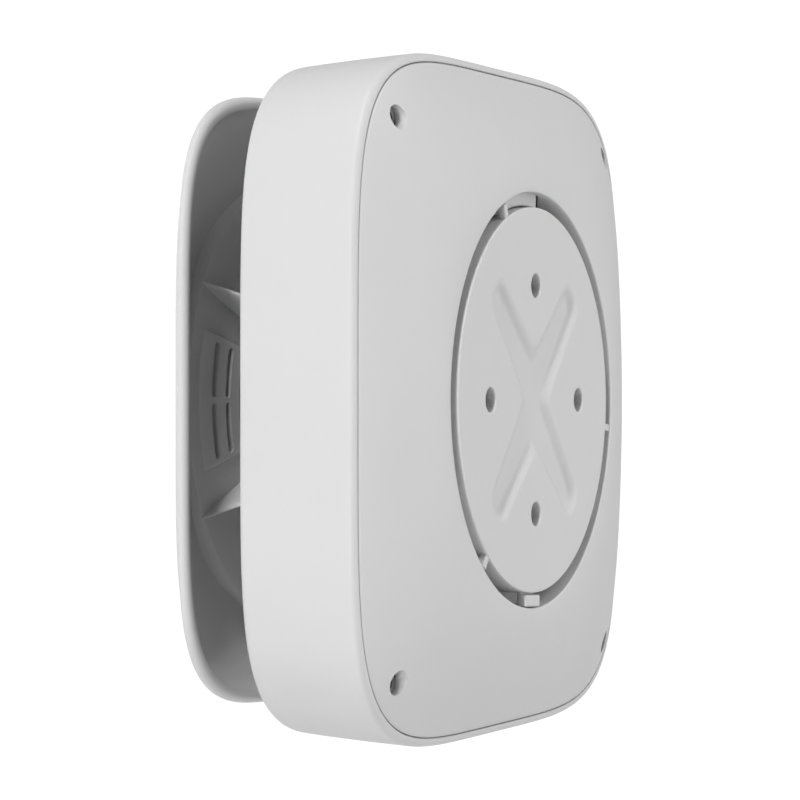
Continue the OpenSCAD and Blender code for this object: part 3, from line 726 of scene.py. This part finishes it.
def cross_distance(x, y):
    """Signed distance from the outline of the X-shaped hollow, negative inside it."""
    fold = CROSS_FOLD * CROSS_FOLD
    p = np.stack([np.sqrt(x * x + fold), np.sqrt(y * y + fold)], -1)
    starts = (np.array([4.1, 0.0]), np.array([0.0, 8.0]))
    sides = []
    for start, sign in zip(starts, (1, -1)):
        along = (CROSS_END - start) / np.linalg.norm(CROSS_END - start)
        normal = np.array([along[1], -along[0]]) * sign
        reach = (CROSS_END + normal * CROSS_END_R - start) @ normal
        tilt = math.atan2(reach, np.linalg.norm(CROSS_END - start))
        c, s = math.cos(-sign * tilt), math.sin(-sign * tilt)
        turned = np.array([normal[0] * c - normal[1] * s, normal[0] * s + normal[1] * c])
        sides.append((p - start) @ turned)
    arm = np.maximum(*sides)
    q = p - CROSS_END
    beyond = q @ (CROSS_END / np.linalg.norm(CROSS_END))
    return np.where(beyond > 0, np.linalg.norm(q, axis=-1) - CROSS_END_R, arm)


def make_bracket():
    rings = [circle(r, 0) for r in np.concatenate([[0.4], np.arange(1, 35.9, 0.6)])]
    for row in rings:
        t = np.clip((CROSS_FOLD - cross_distance(row[:, 0], row[:, 1])) / CROSS_SLOPE, 0, 1)
        row[:, 2] = CROSS_DEPTH * t * t * (3 - 2 * t)
    rings += [circle(r, z) for r, z in [
        (36.45, 0.0), (36.53, 0.02), (36.58, 0.08), (BRACKET_R, 0.16), (BRACKET_R, 5.7),
        (36.4, 5.9), (34.7, 5.9), (34.5, 5.7), (34.5, 2.2), (34.3, BRACKET_T), (20, BRACKET_T),
        (0.4, BRACKET_T)]]
    thing = new_object("bracket_body", skin(rings, caps=True))
    hole = lathe([(2.6, -0.3), (2.6, -0.01), (2.4, 0.08), (WALL_HOLE_R, 0.28),
                  (WALL_HOLE_R, 2.5)], 64)
    cut(thing, [moved(hole, WALL_HOLE_RING, 0, 90 * k) for k in range(4)])
    extras = []
    for a in LEDGES:
        extras.append(moved(block_part(35.3, 39.2, -0.7, 0.7, 0.2, 1.6, 0.15), turn=a))
        extras.append(sector_part(a + 11.2, 16, 35.3, 39.1, 4.2, 5.9))
    extras.append(moved(block_part(37.0, 39.2, -3.45, 3.45, 0.02, 1.8), turn=TONGUE_ANGLE))
    extras.append(moved(block_part(35.3, 38.0, -3.2, 3.2, 1.2, BRACKET_T),
                        turn=TONGUE_ANGLE))
    add_part(thing, joined(*extras))
    finish_piece(thing, ["mounting_bracket"], "bracket")


make_bracket()

# ---------- Stage and light ----------

FLOOR_R = 1.25
FLOOR_Z = -0.35
# Strength of the surroundings as light, and as the white background that the camera sees
WORLD_LEVEL = 0.356
WORLD_SHOWN = 1.05
# Name, place, size and power of each light. Each one points at the origin.
LIGHTS = [
    ("front_panel", (0.8, -1.4, 0), (0.8, 1.4), 4.0),
    ("front_fill_panel", (-0.6, -1.5, 0.35), (1.0, 1.0), 9.0),
    ("side_strip", (1.6, 0.05, 0), (0.1, 1.6), 9.6),
    ("rear_panel", (-1.3, 1.0, 0), (0.8, 1.4), 11.2),
    ("rear_middle_panel", (0, 1.6, 0), (0.8, 1.4), 1.5),
    ("rear_top_panel", (-0.3, 1.1, 1.1), (0.8, 0.8), 7.0),
    ("gap_strip", (0.9, 0.13, 1.3), (0.1, 0.5), 11.6),
    ("gap_upper_strip", (1.4, 0.1, 0.8), (0.1, 0.5), 2.9),
    ("gap_low_strip", (1.4, 0.12, -0.24), (0.1, 0.2), 4.0),
]


def make_floor():
    points = [(0, 0, 0)] + [(FLOOR_R * math.cos(a), FLOOR_R * math.sin(a), 0)
                            for a in np.arange(64) * 2 * math.pi / 64]
    mesh = bpy.data.meshes.new("floor")
    mesh.from_pydata(points, [], [(0, i + 1, (i + 1) % 64 + 1) for i in range(64)])
    floor = bpy.data.objects.new("floor", mesh)
    bpy.context.scene.collection.objects.link(floor)
    floor.location = (0, 0, FLOOR_Z)
    n = Nodes("floor_paint")
    tone = n.ramp(n.noise(3, 2), [(0.3, (0.8,) * 3), (0.7, (0.82,) * 3)])
    mesh.materials.append(n.finish(tone, n.span(n.noise(20), 0.7, 0.8), n.noise(200), 0.0001, 0.1))


def make_world():
    """Surroundings that show as plain white and light the object evenly and softly."""
    world = bpy.data.worlds.new("surroundings")
    bpy.context.scene.world = world
    world.use_nodes = True
    tree = world.node_tree
    rays = tree.nodes.new("ShaderNodeLightPath")
    strength = tree.nodes.new("ShaderNodeMapRange")
    strength.inputs["To Min"].default_value = WORLD_LEVEL
    strength.inputs["To Max"].default_value = WORLD_SHOWN
    tree.links.new(rays.outputs["Is Camera Ray"], strength.inputs["Value"])
    tree.links.new(strength.outputs["Result"], tree.nodes["Background"].inputs["Strength"])
    tree.nodes["Background"].inputs["Color"].default_value = (1, 1, 1, 1)


def make_light(name, at, size, power):
    light = bpy.data.lights.new(name, "AREA")
    light.shape = "RECTANGLE"
    light.size, light.size_y = size
    light.energy = power
    holder = bpy.data.objects.new(name, light)
    bpy.context.scene.collection.objects.link(holder)
    holder.location = at
    holder.rotation_euler = (-Vector(at)).to_track_quat("-Z", "Y").to_euler()
    holder.visible_camera = False


make_floor()
make_world()
for light_row in LIGHTS:
    make_light(*light_row)
bpy.context.scene.view_settings.view_transform = "Standard"
